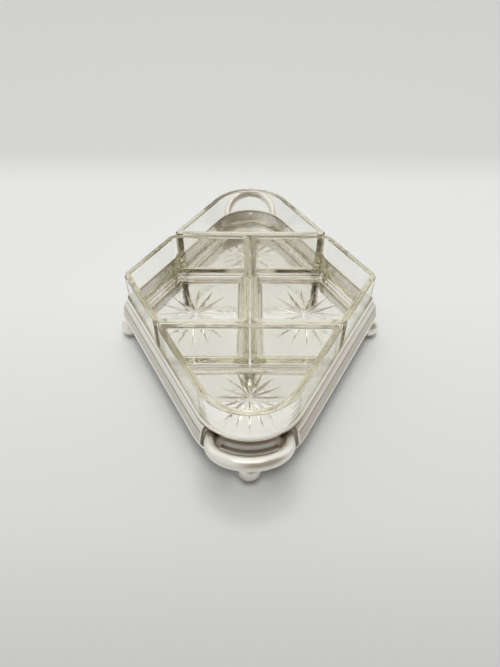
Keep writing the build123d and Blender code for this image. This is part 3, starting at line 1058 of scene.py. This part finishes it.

# %% [markdown]
# The stage is a pale sheet with painted light on it: a pool of light in the middle, painted shade towards the
# front, and a soft step to a dimmer band further back, where the real sheet turns up behind the stand. It is
# a flat sheet, so nothing stands in the way of other views.

# %% Stage
SHEET_HALF = 4.0
SHEET_DEPTH = (-0.26, 1.20)
# Painted light: tones of the sheet from front to back, brightest in the middle.
SHEET_PAINTED_LIGHT = ((0.0, 0.57), (0.06, 0.70), (0.21, 0.81), (0.36, 0.81), (0.42, 0.685), (1.0, 0.70))
SHEET_TINT = (1.0, 1.022, 1.012)
sheet = bmesh.new()
bmesh.ops.create_grid(sheet, x_segments=1, y_segments=1, size=SHEET_HALF)
table = finish_mesh(sheet, "pale_sheet")
pale = bpy.data.materials.new("pale_sheet")
pale.use_nodes = True
tree = pale.node_tree
pale_shader = tree.nodes["Principled BSDF"]
pale_shader.inputs["Roughness"].default_value = 0.9
pale_shader.inputs["Specular IOR Level"].default_value = 0.1
place = add_node(tree, "ShaderNodeTexCoord").outputs["Object"]
depth = add_node(tree, "ShaderNodeSeparateXYZ", {"Vector": place}).outputs["Y"]
away = map_range(tree, depth, *SHEET_DEPTH)
tones = add_node(tree, "ShaderNodeValToRGB", {"Fac": away})
tone_stops = tones.color_ramp.elements
tone_stops.remove(tone_stops[1])
for i, (at, tone) in enumerate(SHEET_PAINTED_LIGHT):
    tone_stop = tone_stops[0] if i == 0 else tone_stops.new(at)
    tone_stop.position = at
    tone_stop.color = [tone * tint for tint in SHEET_TINT] + [1]
tree.links.new(tones.outputs[0], pale_shader.inputs["Base Color"])
table.data.materials.append(pale)
print("tones on the sheet:", len(tone_stops))

# %% [markdown]
# Bright metal and clear glass are mostly pictures of the room, so the room matters more than the lamps. Here
# it is bright behind and to the left and a dim warm brown in front and to the right, as where a table stands
# by a window. The camera sees a plain pale backdrop instead. Mirror and glass rays see the room at its full
# strength, and it lights everything else at half of that, so that the lamps can draw the shadow.

# %% Room
ROOM = (0.33, 0.28, 0.225, 1)
BRIGHT = (1.0, 1.0, 0.985, 1)
PALE = (0.66, 0.665, 0.655, 1)
FILL = 0.50
BEHIND = (-0.15, 0.55)
BESIDE = (0.2, -0.8)
BESIDE_SHARE = 0.7
SOFT = "SMOOTHSTEP"
world = bpy.data.worlds.new("studio")
world.use_nodes = True
scene.world = world
tree = world.node_tree
sky = tree.nodes["Background"]
ways = add_node(tree, "ShaderNodeTexCoord").outputs["Generated"]
toward = add_node(tree, "ShaderNodeSeparateXYZ", {"Vector": ways})
behind = map_range(tree, toward.outputs["Y"], *BEHIND, interpolation_type=SOFT)
beside = map_range(tree, toward.outputs["X"], *BESIDE, interpolation_type=SOFT)
lit = math_node(tree, "MAXIMUM", behind, math_node(tree, "MULTIPLY", beside, BESIDE_SHARE))
room = colour_mix(tree, lit, ROOM, BRIGHT)
rays = add_node(tree, "ShaderNodeLightPath").outputs
mirror_or_glass = math_node(tree, "MAXIMUM", rays["Is Glossy Ray"], rays["Is Transmission Ray"])
shown = math_node(tree, "MAXIMUM", mirror_or_glass, rays["Is Camera Ray"])
strength = add_node(tree, "ShaderNodeMapRange", {"Value": shown, "To Min": FILL, "To Max": 1.0})
tree.links.new(strength.outputs[0], sky.inputs["Strength"])
tree.links.new(colour_mix(tree, rays["Is Camera Ray"], room, PALE), sky.inputs["Color"])
print("room nodes:", len(tree.nodes))

# %% [markdown]
# A broad flat lamp overhead gives the plate its soft highlights. Most of the light comes straight down from
# a very wide sun lamp, which gives the dark line under the stand and a shadow that soon fades. It is hidden
# from mirror and glass rays, where its image would burn out. Light crosses many glass walls here, so it may
# bounce more often than Blender's defaults allow.

# %% Lamps
CEILING_SIZE = (1.8, 1.1)
CEILING_WATTS = 5.0
CEILING_PLACE = (-0.05, -0.1, 1.7)
WINDOW_STRENGTH = 1.62
WINDOW_ANGLE = 38
WINDOW_TILT = (-1, 0.3, 0)


def hang_lamp(name, kind, energy):
    """A new lamp that shines straight down, and its data."""
    data = bpy.data.lights.new(name, kind)
    data.energy = energy
    lamp = bpy.data.objects.new(name, data)
    scene.collection.objects.link(lamp)
    return lamp, data


ceiling, ceiling_data = hang_lamp("ceiling", "AREA", CEILING_WATTS)
ceiling_data.shape = "RECTANGLE"
ceiling_data.size, ceiling_data.size_y = CEILING_SIZE
ceiling.location = CEILING_PLACE
window, window_data = hang_lamp("window", "SUN", WINDOW_STRENGTH)
window_data.angle = math.radians(WINDOW_ANGLE)
window.rotation_euler = [math.radians(angle) for angle in WINDOW_TILT]
window.visible_glossy = False
window.visible_transmission = False
scene.cycles.max_bounces = 32
scene.cycles.glossy_bounces = 24
scene.cycles.transmission_bounces = 32
print("lamps:", len(bpy.data.lights))
